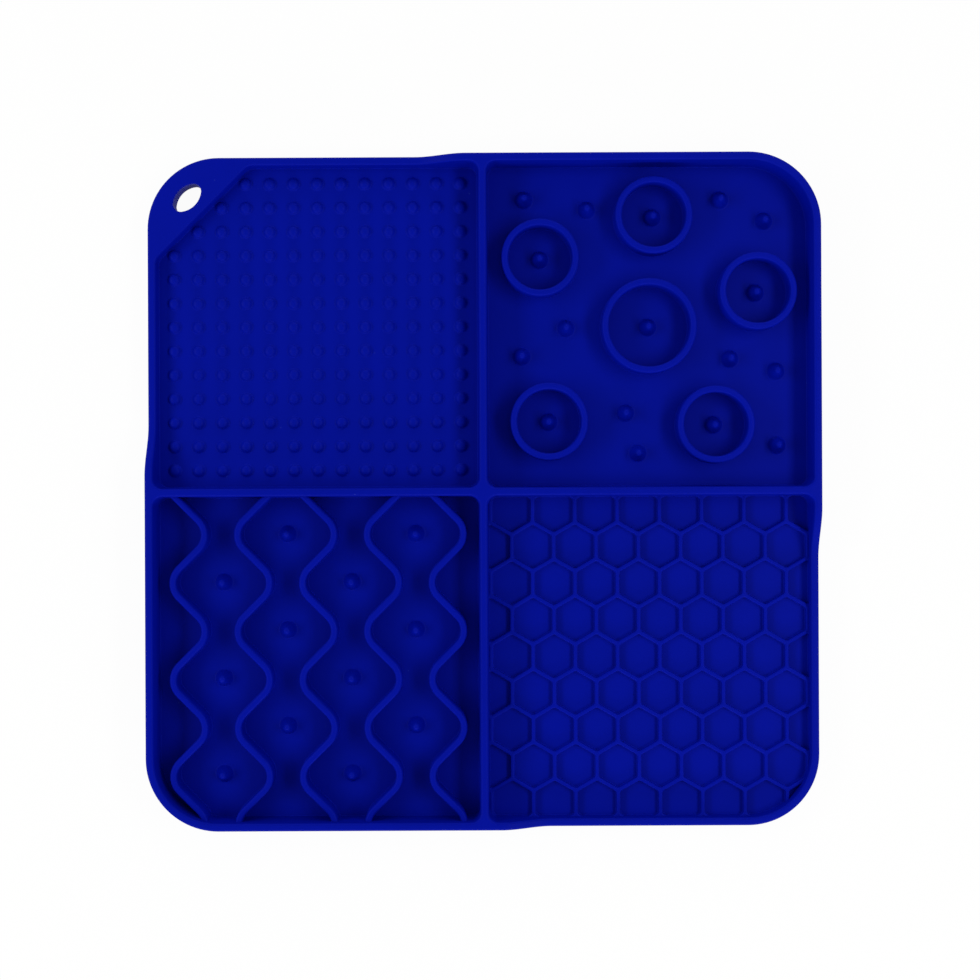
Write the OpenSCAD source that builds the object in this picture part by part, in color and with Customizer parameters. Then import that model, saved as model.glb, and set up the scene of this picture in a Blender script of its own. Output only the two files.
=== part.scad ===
// Silicone lick mat with four trays, in millimetres.
// The origin is under the middle of the mat: X to the right, Y to the back, Z up.
// The mat is one moulding. Each node is one region of it, and the regions meet face to face.

/* [Mat] */
// Width of the mat at its lip
mat_w = 200; // [180:1:260]
// Depth of the mat at its lip
mat_d = 200; // [180:1:260]
// Radius of the outer corners at the lip
corner_r = 21.5; // [16:0.5:26]
// Thickness of the floor under the trays
floor_t = 2; // [1.2:0.1:3]

/* [Rims and dividers] */
// Height of the dividers and of the rims round the ring tray and the wave tray
high_h = 10.5; // [9:0.1:14]
// Height of the rims round the nub tray and the comb tray
low_h = 6; // [5.4:0.1:8]
// Thickness of the rims along their tops
rim_t = 2.4; // [1.8:0.1:4]
// Thickness of the dividers along their tops
divider_t = 2.4; // [1.8:0.1:4]
// How far the high lip stands out past the foot of the outer wall
wall_lean = 0.5; // [0.2:0.05:1]
// Radius of the rounded edges along the tops of the walls
edge_r = 0.8; // [0.4:0.05:0.85]
// Radius of the fillet where a wall meets the floor
foot_r = 0.5; // [0.3:0.1:1.5]
// Radius in plan where a divider meets a rim or the other divider
nook_r = 3; // [2.8:0.1:5]
// Radius of the outer edge underneath
sole_r = 0.5; // [0.2:0.05:1]
// Distance from a divider's middle line to the start of a low rim's slope
ramp_start = 5; // [5:0.5:12]
// Length of the slope between the high level and a low rim
ramp_len = 15; // [8:1:30]

/* [Hanging tab] */
// Length of the tab along each inner wall of its corner
tab_leg = 27.8; // [24:0.1:27.8]
// Radius in plan where the face of the tab meets the rims
tab_round = 3.7; // [2.5:0.1:5]
// Length of the oval hanging hole
hole_len = 9.9; // [8:0.1:12]
// Width of the oval hanging hole
hole_wid = 6.4; // [5:0.1:7]
// Radius of the two ends of the hanging hole
hole_end_r = 2.3; // [1.8:0.1:2.4]
// Distance from the middle of the hole to each straight lip
hole_edge = 12.1; // [11.5:0.1:13]

/* [Nub tray] */
// Nubs in a full row
nub_rows = 13; // [8:1:15]
// Diameter of a nub at the floor
nub_d = 3.6; // [2:0.1:4]
// Height of a nub
nub_h = 1.2; // [0.8:0.05:1.8]
// Distance from the dividers to the middles of the nearest nubs
nub_margin = 5.4; // [5:0.1:8]
// Distance from the rims to the middles of the nearest nubs
nub_rim_margin = 5.1; // [4.5:0.1:8]

/* [Ring tray] */
// Outer diameter of the middle ring
big_ring_d = 28.2; // [24:0.1:32]
// Outer diameter of the five rings round it
ring_d = 23; // [18:0.1:25]
// Height of a ring above the floor
ring_h = 6.5; // [4:0.1:7.5]
// Thickness of a ring's wall
ring_t = 2; // [1:0.1:2.6]
// Radius of the rounded edges along the tops of the rings and the wave ribs
bead_edge_r = 0.7; // [0.3:0.05:0.9]

/* [Wave tray] */
// Height of a wave rib above the floor
wave_h = 6.5; // [4:0.1:7]
// Thickness of a wave rib
wave_t = 2; // [1:0.1:2.6]
// Distance from the tray's walls to the middle lines of the outer ribs
wave_margin = 9.8; // [9:0.1:12]
// Length of one full wave along a rib
wave_len = 28.7; // [24:0.1:30]
// Radius of the bends on a rib's middle line
bend_r = 6; // [3:0.1:7]
// Distance from the tray's middle line to the nearest bends in front of it
wave_shift = 6.1; // [4:0.1:7]
// How far the middle rib lies to the right of the tray's middle line
wave_offset = 0.3; // [0:0.1:1.2]

/* [Pegs] */
// Diameter of a peg above its fillet
peg_d = 4.7; // [3:0.1:5]
// Diameter of a peg's round tip
peg_tip_d = 2.2; // [1.4:0.1:2.8]
// Height of a peg above the floor
peg_h = 5; // [3:0.1:7]
// Radius of the fillet at the foot of a peg, a ring and a wave rib
small_foot_r = 0.4; // [0.2:0.05:1.2]

/* [Comb tray] */
// Distance between the middles of neighbouring cells
comb_pitch = 12.66; // [10:0.02:16]
// Thickness of the comb's walls
comb_t = 1.15; // [0.8:0.05:2]
// Height of the comb's walls above the floor
comb_h = 1.6; // [1.2:0.1:3]
// Distance from the tray's middle line to the next upright wall of the comb
comb_shift = 3.25; // [0:0.05:6]

/* [Hidden] */
silicone = "#0c1b97";
quarter = 90;            // turn of a corner in degrees
eighth = quarter / 2;    // slope of the tab's face and of the wave runs in degrees
corner_step = 7.5;       // degrees between the points of an outer corner
edge_step = 30;          // degrees between the points of a rounded edge or a fillet
nook_step = 15;          // degrees between the points of a small corner in plan
round_fn = 48;           // smoothness of true round shapes
overrun = 1;             // how far a cut passes the surface it ends at
cell_sides = 6;
round_share = 0.4;       // part of a ring's or a rib's thickness that each rounded edge takes at most
bead_step = 45;          // degrees between the points of a wave rib's top and fillets
ramp_parts = 10;         // straight parts that a slope is drawn with
wave_count = 5;
// Middles of the rings and of the loose pegs, as shares of the ring tray's size from its middle
middle_ring_share = [0, -0.004];
ring_shares = [[-0.335, 0.207], [0.015, 0.337], [0.335, 0.102], [0.204, -0.308], [-0.309, -0.297]];
peg_shares = [[-0.383, 0.393], [-0.189, 0.361], [0.225, 0.391], [0.362, 0.325], [-0.254, -0.006],
    [-0.391, -0.093], [0.255, -0.103], [0.398, -0.142], [-0.07, -0.27], [-0.032, -0.395], [0.401, -0.372]];

half_w = mat_w / 2;
half_d = mat_d / 2;
tray_w = half_w - rim_t - divider_t / 2;
tray_d = half_d - rim_t - divider_t / 2;
tray_x = divider_t / 2 + tray_w / 2;   // middle of a tray from the middle of the mat
tray_y = divider_t / 2 + tray_d / 2;
foot_z = floor_t + foot_r;
wave_pitch = (tray_w - 2 * wave_margin) / (wave_count - 1);
half_wave = wave_len / 2;
wave_side = half_wave / 2;             // sideways reach of a rib's corners before they are rounded
wave_ends = ceil(tray_d / wave_len) + 1;
tab_end_x = half_w - rim_t - tab_leg - tab_round;
tab_end_y = half_d - rim_t - tab_leg - tab_round;

RINGS = ["ring_left", "ring_back", "ring_right", "ring_front_right", "ring_front_left"];

// How far the outer face of a wall stands inside the line of the high lip
function lean(z) = wall_lean * (high_h - edge_r - z) / (high_h - edge_r);

// Side of a wall towards a tray, from the floor up, for a wall whose top is at h:
// each point is [height, how far it stands past the wall's thickness at the lip]
function tray_side(h) = concat(
    [for (a = [quarter:-edge_step:0]) [foot_z - foot_r * sin(a), lean(foot_z) + foot_r * (1 - cos(a))]],
    [for (a = [0:edge_step:quarter])
        [h - edge_r + edge_r * sin(a), lean(h - edge_r) - edge_r * (1 - cos(a))]]);
foot_reach = tray_side(high_h)[0][1];

// Outer side of a rim, from the underside up: each point is [height, distance inside the high lip]
function outer_side(h) = concat(
    [for (a = [quarter:-edge_step:0]) [sole_r * (1 - sin(a)), lean(sole_r) + sole_r * (1 - cos(a))]],
    [for (a = [0:edge_step:quarter])
        [h - edge_r + edge_r * sin(a), lean(h - edge_r) + edge_r * (1 - cos(a))]]);

// Section of a rim, each point as [distance inside the high lip, height]
function rim_section(h) = let (inner = tray_side(h)) concat(
    [for (p = outer_side(h)) [p[1], p[0]]],
    [for (i = [len(inner) - 1:-1:0]) [rim_t + inner[i][1], inner[i][0]]],
    [[rim_t + foot_reach, 0]]);

// Height of a low rim's top at a distance from the nearest divider's middle line
function smooth(s) = s * s * (3 - 2 * s);
function fall(d) = high_h - (high_h - low_h) * smooth(min(1, max(0, (d - ramp_start) / ramp_len)));
function low_places(reach) = concat(
    [0], [for (k = [0:ramp_parts]) ramp_start + ramp_len * k / ramp_parts], [reach]);
function high_places(reach) = [0, reach];

// Stations of a rim in the back right quarter: [lip point, inward direction, height of the top]
function back_run(places, low) = [for (x = places) [[x, half_d], [0, -1], low ? fall(x) : high_h]];
function corner_run(low) = [for (a = [quarter:-corner_step:0])
    [[half_w - corner_r, half_d - corner_r] + corner_r * [cos(a), sin(a)], -[cos(a), sin(a)],
        low ? low_h : high_h]];
function side_run(places, low) = [for (i = [len(places) - 1:-1:0])
    [[half_w, places[i]], [-1, 0], low ? fall(places[i]) : high_h]];
function whole_run(low) = let (reach_x = half_w - corner_r, reach_y = half_d - corner_r) concat(
    back_run(low ? low_places(reach_x) : high_places(reach_x), low),
    [for (i = [1:quarter / corner_step - 1]) corner_run(low)[i]],
    side_run(low ? low_places(reach_y) : high_places(reach_y), low));

// A solid through a row of rings of points that all have the same count. Each end is one face,
// or the faces listed in ends, which number the points of a ring.
module skin(rings, ends = undef) {
    m = len(rings[0]);
    last = len(rings) - 1;
    caps = is_undef(ends) ? [[for (j = [0:m - 1]) j]] : ends;
    sides = [for (i = [0:last - 1], j = [0:m - 1]) let (k = (j + 1) % m)
        each [[i * m + j, (i + 1) * m + j, (i + 1) * m + k], [i * m + j, (i + 1) * m + k, i * m + k]]];
    polyhedron(
        points = [for (ring = rings) each ring],
        faces = concat(caps, sides, [for (cap = caps) [for (j = [len(cap) - 1:-1:0]) last * m + cap[j]]]));
}

module rim(stations) {
    skin([for (s = stations) [for (p = rim_section(s[2]))
        [s[0][0] + p[0] * s[1][0], s[0][1] + p[0] * s[1][1], p[1]]]]);
}

// Moves what is drawn for the back right quarter of the mat to another quarter
module at_left() { mirror([1, 0, 0]) children(); }
module at_front() { mirror([0, 1, 0]) children(); }

function arc(centre, r, from, to, step) = let (parts = abs(to - from) / step)
    [for (i = [0:parts]) let (a = from + (to - from) * i / parts) centre + r * [cos(a), sin(a)]];

// Face of the tab towards the tray, from the back rim round to the side rim
function tab_face(g) = let (
        r = tab_round - g,
        wall_x = half_w - rim_t - tab_round,
        wall_y = half_d - rim_t - tab_round,
        turn_sum = half_w - rim_t + half_d - rim_t - tab_leg - sqrt(2) * tab_round)
    concat(arc([turn_sum - wall_y, wall_y], r, quarter, eighth, nook_step),
        arc([wall_x, turn_sum - wall_x], r, eighth, 0, nook_step));

// Plan of the tab where its outer side is o inside the lip and its tray side g past its lip thickness
function tab_plan(o, g) = concat(
    [[half_w - o, tab_end_y]],
    arc([half_w - corner_r, half_d - corner_r], corner_r - o, 0, quarter, corner_step),
    [[tab_end_x, half_d - o], [tab_end_x, half_d - rim_t - g]],
    tab_face(g),
    [[half_w - rim_t - g, tab_end_y]]);

function tab_levels() = concat(
    [for (i = [0:len(outer_side(low_h)) / 2 - 1]) let (p = outer_side(low_h)[i]) [p[0], p[1], foot_reach]],
    [for (i = [0:len(tray_side(low_h)) / 2 - 1]) let (p = tray_side(low_h)[i]) [p[0], lean(p[0]), p[1]]],
    [for (i = [len(tray_side(low_h)) / 2:len(tray_side(low_h)) - 1])
        let (p = tray_side(low_h)[i], q = outer_side(low_h)[i]) [p[0], q[1], p[1]]]);

// Plan of the divider cross where its sides are g past their thickness at the lip
function cross_quarter(g) = let (
        w = divider_t / 2 + g, r = nook_r - g, end_x = half_w - rim_t - g, end_y = half_d - rim_t - g)
    concat(arc([end_x - r, w + r], r, 0, -quarter, nook_step),
        arc([w + r, w + r], r, -quarter, -2 * quarter, nook_step),
        arc([w + r, end_y - r], r, 2 * quarter, quarter, nook_step));
function cross_plan(g) = let (q = cross_quarter(g), last = len(q) - 1) concat(
    q,
    [for (i = [last:-1:0]) [-q[i][0], q[i][1]]],
    [for (p = q) -p],
    [for (i = [last:-1:0]) [q[i][0], -q[i][1]]]);

// Faces of the cross's ends: strips across each arm, and a square where the arms meet.
// Point i of a quarter has its mirror images at 2n - 1 - i, 2n + i and 4n - 1 - i.
function cross_ends() = let (n = len(cross_quarter(0)), mid = (n - 1) / 2) concat(
    [for (i = [0:mid - 1]) each [[4 * n - 1 - i, i, i + 1, 4 * n - 2 - i],
        [2 * n - 1 - i, 2 * n + i, 2 * n + i + 1, 2 * n - 2 - i]]],
    [for (i = [mid:n - 2]) each [[i, i + 1, 2 * n - 2 - i, 2 * n - 1 - i],
        [2 * n + i, 2 * n + i + 1, 4 * n - 2 - i, 4 * n - 1 - i]]],
    [[mid, 2 * n - 1 - mid, 2 * n + mid, 4 * n - 1 - mid]]);

// Plan of a tray in the back right quarter where its walls are g past their thickness at the lip
function tray_plan(g) = let (
        w = divider_t / 2 + g, r = nook_r - g, big = corner_r - rim_t - g,
        end_x = half_w - rim_t - g, end_y = half_d - rim_t - g)
    concat(arc([w + r, w + r], r, 2 * quarter, 3 * quarter, nook_step),
        arc([end_x - r, w + r], r, -quarter, 0, nook_step),
        arc([end_x - big, end_y - big], big, 0, quarter, corner_step),
        arc([w + r, end_y - r], r, quarter, 2 * quarter, nook_step));

function raised(plan, z) = [for (p = plan) [p[0], p[1], z]];

// Room inside a tray in the back right quarter, which trims what runs into its walls
module tray_room() {
    skin([for (i = [0:len(tray_side(high_h)) / 2]) let (p = tray_side(high_h)[i])
        raised(tray_plan(p[1]), p[0])]);
}

module floor_sheet() {
    g = foot_reach;
    corner = arc([half_w - corner_r, half_d - corner_r], corner_r - rim_t - g, 0, quarter, corner_step);
    last = len(corner) - 1;
    color(silicone)
        linear_extrude(floor_t)
            polygon(concat(
                corner,
                [for (p = tab_face(g)) [-p[0], p[1]]],
                [for (p = corner) -p],
                [for (i = [last:-1:0]) [corner[i][0], -corner[i][1]]]));
}

module nub_tray_left_rim() {
    color(silicone) at_left() rim(side_run(low_places(tab_end_y), true));
}

module nub_tray_back_rim() {
    color(silicone) at_left() rim(back_run(low_places(tab_end_x), true));
}

module ring_tray_rim() {
    color(silicone) rim(whole_run(false));
}

module wave_tray_rim() {
    color(silicone) at_left() at_front() rim(whole_run(false));
}

module comb_tray_rim() {
    color(silicone) at_front() rim(whole_run(true));
}

// Oval of four arcs that meet smoothly
module oval(length, width, end_r) {
    end_x = length / 2 - end_r;
    drop = width / 2 - end_r;
    side_y = (end_x * end_x - drop * drop) / (2 * drop);
    side_r = side_y + width / 2;
    join_x = end_x * side_r / (side_r - end_r);
    for (s = [-1, 1]) translate([s * end_x, 0]) circle(end_r, $fn = round_fn);
    intersection() {
        translate([0, side_y]) circle(side_r, $fn = round_fn);
        translate([0, -side_y]) circle(side_r, $fn = round_fn);
        square([2 * join_x, width], center = true);
    }
}

module hanging_tab() {
    color(silicone)
        at_left() difference() {
            skin([for (p = tab_levels()) raised(tab_plan(p[1], p[2]), p[0])]);
            translate([half_w - hole_edge, half_d - hole_edge, -overrun]) rotate(-eighth)
                linear_extrude(low_h + 2 * overrun) oval(hole_len, hole_wid, hole_end_r);
        }
}

module divider_cross() {
    color(silicone)
        skin([for (p = tray_side(high_h)) raised(cross_plan(p[1]), p[0])], cross_ends());
}

module nub() {
    ball_r = (nub_d * nub_d / 4 + nub_h * nub_h) / (2 * nub_h);
    rotate_extrude($fn = round_fn) intersection() {
        translate([0, nub_h - ball_r]) circle(ball_r, $fn = round_fn);
        square([nub_d, nub_h]);
    }
}

module nub_field() {
    step_x = (tray_w - nub_margin - nub_rim_margin) / (nub_rows - 1);
    step_y = (tray_d - nub_margin - nub_rim_margin) / (nub_rows - 1);
    clear_of_tab = tray_w + tray_d - tab_leg - sqrt(2) * (foot_reach + nub_d / 2);
    color(silicone)
        for (i = [0:nub_rows - 1], j = [0:nub_rows - 1])
            let (x = nub_margin + i * step_x, y = nub_margin + j * step_y)
                if (x + y < clear_of_tab) translate([-divider_t / 2 - x, divider_t / 2 + y, floor_t]) nub();
}

// Radius of the rounded edges along the top of a standing wall, which keep a flat strip between them
function bead_round(t) = min(bead_edge_r, round_share * t);

// Section of a ring's wall with rounded edges along its top and a fillet on each side of its foot
module bead(t, h) {
    r = bead_round(t);
    translate([-t / 2, 0]) square([t, h - r]);
    translate([r - t / 2, 0]) square([t - 2 * r, h]);
    for (s = [-1, 1]) translate([s * (t / 2 - r), h - r]) circle(r, $fn = round_fn);
    difference() {
        translate([-t / 2 - small_foot_r, 0]) square([t + 2 * small_foot_r, small_foot_r]);
        for (s = [-1, 1])
            translate([s * (t / 2 + small_foot_r), small_foot_r]) circle(small_foot_r, $fn = round_fn);
    }
}

module ring(share, d) {
    color(silicone)
        translate([tray_x + share[0] * tray_w, tray_y + share[1] * tray_d, floor_t])
            rotate_extrude($fn = 2 * round_fn) translate([(d - ring_t) / 2, 0]) bead(ring_t, ring_h);
}

module ring_middle() { ring(middle_ring_share, big_ring_d); }

// Section of a wave rib, each point as [distance from its middle line, height above the floor]
function rib_section() = let (r = bead_round(wave_t)) concat(
    [for (a = [quarter:-bead_step:0])
        [-wave_t / 2 - small_foot_r * (1 - cos(a)), small_foot_r * (1 - sin(a))]],
    [for (a = [0:bead_step:quarter]) [r * (1 - cos(a)) - wave_t / 2, wave_h - r * (1 - sin(a))]],
    [for (a = [quarter:-bead_step:0]) [wave_t / 2 - r * (1 - cos(a)), wave_h - r * (1 - sin(a))]],
    [for (a = [0:bead_step:quarter])
        [wave_t / 2 + small_foot_r * (1 - cos(a)), small_foot_r * (1 - sin(a))]]);

// Stations along a zigzag middle line with rounded bends, from front to back: [point, direction to its right]
function zigzag(first) = [for (k = [-wave_ends:wave_ends], t = [-eighth:nook_step:eighth])
    let (side = first * (k % 2 == 0 ? 1 : -1), mid_x = side * (wave_side - sqrt(2) * bend_r))
        [[mid_x + side * bend_r * cos(t), k * half_wave + bend_r * sin(t)], [cos(t), side * sin(t)]]];

// One zigzag rib, drawn through the whole tray and trimmed by its walls
module wave_rib(i) {
    middle = [-tray_x + wave_offset + (i - (wave_count + 1) / 2) * wave_pitch, -tray_y - wave_shift];
    color(silicone) intersection() {
        skin([for (s = zigzag(i % 2 == 0 ? 1 : -1))
            [for (p = rib_section()) let (q = middle + s[0] + p[0] * s[1]) [q[0], q[1], floor_t + p[1]]]]);
        at_left() at_front() tray_room();
    }
}

// A tapered peg with a round tip, standing on the floor
module peg() {
    tip_z = peg_h - peg_tip_d / 2;
    rotate_extrude($fn = round_fn) {
        difference() {
            square([peg_d / 2 + small_foot_r, small_foot_r]);
            translate([peg_d / 2 + small_foot_r, small_foot_r]) circle(small_foot_r, $fn = round_fn);
        }
        polygon([[0, small_foot_r], [peg_d / 2, small_foot_r], [peg_tip_d / 2, tip_z], [0, tip_z]]);
        intersection() {
            translate([0, tip_z]) circle(d = peg_tip_d, $fn = round_fn);
            square([peg_tip_d, peg_h]);
        }
    }
}

module pegs_at(shares) {
    color(silicone)
        for (s = shares) translate([tray_x + s[0] * tray_w, tray_y + s[1] * tray_d, floor_t]) peg();
}

module ring_pegs() { pegs_at(concat([middle_ring_share], ring_shares)); }

module loose_pegs() { pegs_at(peg_shares); }

// A peg in each wide place between neighbouring ribs, where it clears the tray's walls
module wave_pegs() {
    room = tray_d / 2 - nook_r - peg_d / 2 - small_foot_r;
    color(silicone)
        for (i = [1:wave_count - 1], k = [-wave_ends:wave_ends])
            let (y = k * half_wave - wave_shift)
                if ((i + k) % 2 != 0 && abs(y) < room)
                    translate([-tray_x + wave_offset + (i - wave_count / 2) * wave_pitch, -tray_y + y, floor_t]) peg();
}

// Walls of the comb in plan, kept inside a tray plan
module comb_walls(g) {
    row_step = comb_pitch * sqrt(3) / 2;
    cell_r = (comb_pitch - comb_t) / sqrt(3);
    rows = ceil(tray_d / row_step / 2) + 1;
    columns = ceil(tray_w / comb_pitch / 2) + 1;
    difference() {
        polygon([for (p = tray_plan(g)) [p[0], -p[1]]]);
        for (j = [-rows:rows], i = [-columns:columns])
            translate([tray_x + comb_shift + (i + (j % 2 == 0 ? 1 / 2 : 1)) * comb_pitch, -tray_y + j * row_step])
                rotate(quarter) circle(cell_r, $fn = cell_sides);
    }
}

// The comb stands inside the foot fillets, and above them it reaches the walls
module honeycomb() {
    color(silicone) {
        translate([0, 0, floor_t]) linear_extrude(foot_r) comb_walls(foot_reach);
        translate([0, 0, foot_z]) linear_extrude(comb_h - foot_r) comb_walls(lean(foot_z));
    }
}

floor_sheet();
nub_tray_left_rim();
nub_tray_back_rim();
ring_tray_rim();
wave_tray_rim();
comb_tray_rim();
hanging_tab();
divider_cross();
nub_field();
ring_middle();
for (i = [0:len(RINGS) - 1]) ring(ring_shares[i], ring_d);
for (i = [1:wave_count]) wave_rib(i);
ring_pegs();
loose_pegs();
wave_pegs();
honeycomb();
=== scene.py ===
import math
import bmesh
import bpy
from mathutils import Euler, Matrix, Vector, geometry


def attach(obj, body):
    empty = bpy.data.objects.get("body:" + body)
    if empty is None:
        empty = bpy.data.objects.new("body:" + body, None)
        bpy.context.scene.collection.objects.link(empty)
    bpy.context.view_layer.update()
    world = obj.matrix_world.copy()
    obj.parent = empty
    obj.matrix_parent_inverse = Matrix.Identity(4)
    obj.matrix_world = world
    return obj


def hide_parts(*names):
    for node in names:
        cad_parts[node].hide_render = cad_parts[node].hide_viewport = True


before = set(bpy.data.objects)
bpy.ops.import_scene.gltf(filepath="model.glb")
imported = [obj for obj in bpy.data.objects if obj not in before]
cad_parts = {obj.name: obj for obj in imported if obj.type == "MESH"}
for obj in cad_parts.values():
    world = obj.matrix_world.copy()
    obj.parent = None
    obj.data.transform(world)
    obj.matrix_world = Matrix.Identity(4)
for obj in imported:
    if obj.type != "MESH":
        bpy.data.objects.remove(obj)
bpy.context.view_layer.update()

# All sizes are in millimetres and become metres where a mesh is made
mm = 0.001
weld = 0.0001 * mm      # vertices closer than this become one

mat = {
    "half": 100.0,          # half the width over the lip
    "cornerRadius": 21.5,
    "floor": 2.0,
    "high": 10.5,           # dividers, and rims of the ring and wave trays
    "low": 6.0,             # rims of the nub and comb trays
    "rim": 2.4,
    "divider": 2.4,
    "lean": 0.5,            # the lip stands out past the foot of the wall
    "edge": 0.8,            # rounded edges along the tops of the walls
    "foot": 0.25,           # fillet where a wall meets the floor
    "nook": 3.0,            # radius of the trays' corners at the dividers
    "sole": 0.5,            # rounded edge along the underside
    "rampStart": 5.0,       # from the middle line of the divider
    "rampLength": 15.0,
    "rampParts": 20,
    "cornerParts": 24,
    "nookParts": 10,
    "edgeParts": 7,
}
tab = {
    "leg": 27.8,            # how far the tab reaches along each rim, inside the tray
    "round": 3.7,           # where its face meets the rims
    "holeLength": 9.9,
    "holeWidth": 6.4,
    "holeEndRadius": 2.3,
    "holeEdge": 12.1,       # from the middle of the hole to each lip
    "holeRound": 0.4,       # rounded lips of the hole
    "holeRoundParts": 4,
    "holeParts": 12,
}


def wallLean(z):
    return mat["lean"] * (mat["high"] - mat["edge"] - z) / (mat["high"] - mat["edge"])


def wallTop(x, y):
    # The rims of the nub tray and the comb tray drop to the low level away from the dividers
    if x * y >= 0:
        return mat["high"]
    share = min(1.0, max(0.0, (min(abs(x), abs(y)) - mat["rampStart"]) / mat["rampLength"]))
    return mat["high"] - (mat["high"] - mat["low"]) * share * share * (3 - 2 * share)


def arcPoints(centre, radius, start, end, parts):
    turns = [math.radians(start + (end - start) * i / parts) for i in range(parts + 1)]
    return [(centre[0] + radius * math.cos(a), centre[1] + radius * math.sin(a)) for a in turns]


def rampPlaces():
    return [mat["rampStart"] + mat["rampLength"] * i / mat["rampParts"] for i in range(mat["rampParts"] + 1)]


def outerLoop(inset):
    # Counterclockwise from the right end of the divider
    reach = mat["half"] - mat["cornerRadius"]
    side = mat["half"] - inset
    places = [0.0] + rampPlaces()
    corner = arcPoints((reach, reach), mat["cornerRadius"] - inset, 0, 90, mat["cornerParts"])
    quarter = [(side, p) for p in places] + corner + [(p, side) for p in reversed(places)]
    whole = []
    for turn in range(4):
        part = quarter
        for _ in range(turn):
            part = [(-y, x) for x, y in part]
        whole += part[:-1]
    return whole


def trayLoop(sx, sy, grow):
    # One tray's outline where its walls are grow past their thickness at the lip
    wall = mat["divider"] / 2 + grow
    small = mat["nook"] - grow
    side = mat["half"] - mat["rim"] - grow
    near = wall + small
    places = rampPlaces()
    points = arcPoints((near, near), small, 180, 270, mat["nookParts"])
    points += arcPoints((side - small, near), small, -90, 0, mat["nookParts"])
    points += [(side, p) for p in places]
    if sx < 0 < sy:
        bend = tab["round"] - grow
        far = mat["half"] - mat["rim"] - tab["round"]
        other = 2 * (mat["half"] - mat["rim"]) - tab["leg"] - math.sqrt(2) * tab["round"] - far
        points += arcPoints((far, other), bend, 0, 45, mat["nookParts"])
        points += arcPoints((other, far), bend, 45, 90, mat["nookParts"])
    else:
        big = mat["cornerRadius"] - mat["rim"] - grow
        points += arcPoints((side - big, side - big), big, 0, 90, mat["cornerParts"])
    points += [(p, side) for p in reversed(places)]
    points += arcPoints((near, side - small), small, 90, 180, mat["nookParts"])
    points = [(sx * x, sy * y) for x, y in points]
    return points if sx * sy > 0 else points[::-1]


def holeLoop(grow):
    # Oval of four arcs, its long axis along the face of the tab
    endX = tab["holeLength"] / 2 - tab["holeEndRadius"]
    drop = tab["holeWidth"] / 2 - tab["holeEndRadius"]
    sideY = (endX * endX - drop * drop) / (2 * drop)
    sideRadius = sideY + tab["holeWidth"] / 2
    lean = math.degrees(math.atan2(sideY, endX))
    parts = tab["holeParts"]
    points = arcPoints((endX, 0), tab["holeEndRadius"] + grow, -lean, lean, parts)
    points += arcPoints((0, -sideY), sideRadius + grow, lean, 180 - lean, parts)[1:]
    points += arcPoints((-endX, 0), tab["holeEndRadius"] + grow, 180 - lean, 180 + lean, parts)[1:]
    points += arcPoints((0, sideY), sideRadius + grow, 180 + lean, 360 - lean, parts)[1:-1]
    c = math.sqrt(0.5)
    middle = mat["half"] - tab["holeEdge"]
    return [(-middle + c * (x - y), middle + c * (x + y)) for x, y in points]


def quarterTurn(parts):
    return [math.radians(90 * i / parts) for i in range(parts + 1)]


def stitchLoops(bm, loops):
    # Quads between rings of vertices that have the same count
    for lower, upper in zip(loops, loops[1:]):
        count = len(lower)
        for i in range(count):
            k = (i + 1) % count
            bm.faces.new((lower[i], lower[k], upper[k], upper[i]))


def insideLoop(point, loop):
    hit = False
    for (x0, y0), (x1, y1) in zip(loop, loop[1:] + loop[:1]):
        if (y0 > point[1]) != (y1 > point[1]) and point[0] < x0 + (point[1] - y0) * (x1 - x0) / (y1 - y0):
            hit = not hit
    return hit


def fillBetween(bm, rings, flip=False):
    # Flat faces between an outer ring and the rings inside it, drawn in plan
    plan, edges, verts, plans = [], [], [], []
    for ring in rings:
        start = len(plan)
        loop = [(v.co.x, v.co.y) for v in ring]
        plans.append(loop)
        plan += [Vector(p) for p in loop]
        verts += ring
        edges += [(start + i, start + (i + 1) % len(ring)) for i in range(len(ring))]
    _, _, faces, sources, _, _ = geometry.delaunay_2d_cdt(plan, edges, [], 0, 1e-9)
    for face in faces:
        own = [verts[sources[i][0]] for i in face]
        centre = (sum(v.co.x for v in own) / 3, sum(v.co.y for v in own) / 3)
        if insideLoop(centre, plans[0]) and not any(insideLoop(centre, p) for p in plans[1:]):
            bm.faces.new(own[::-1] if flip else own)


def addRing(bm, loop, z):
    return [bm.verts.new((x * mm, y * mm, (z(x, y) if callable(z) else z) * mm)) for x, y in loop]


def makeMesh(name, bm):
    bmesh.ops.remove_doubles(bm, verts=bm.verts, dist=weld)
    bmesh.ops.recalc_face_normals(bm, faces=bm.faces)
    mesh = bpy.data.meshes.new(name)
    bm.to_mesh(mesh)
    bm.free()
    mesh.shade_smooth()
    obj = bpy.data.objects.new(name, mesh)
    bpy.context.scene.collection.objects.link(obj)
    return obj


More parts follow.
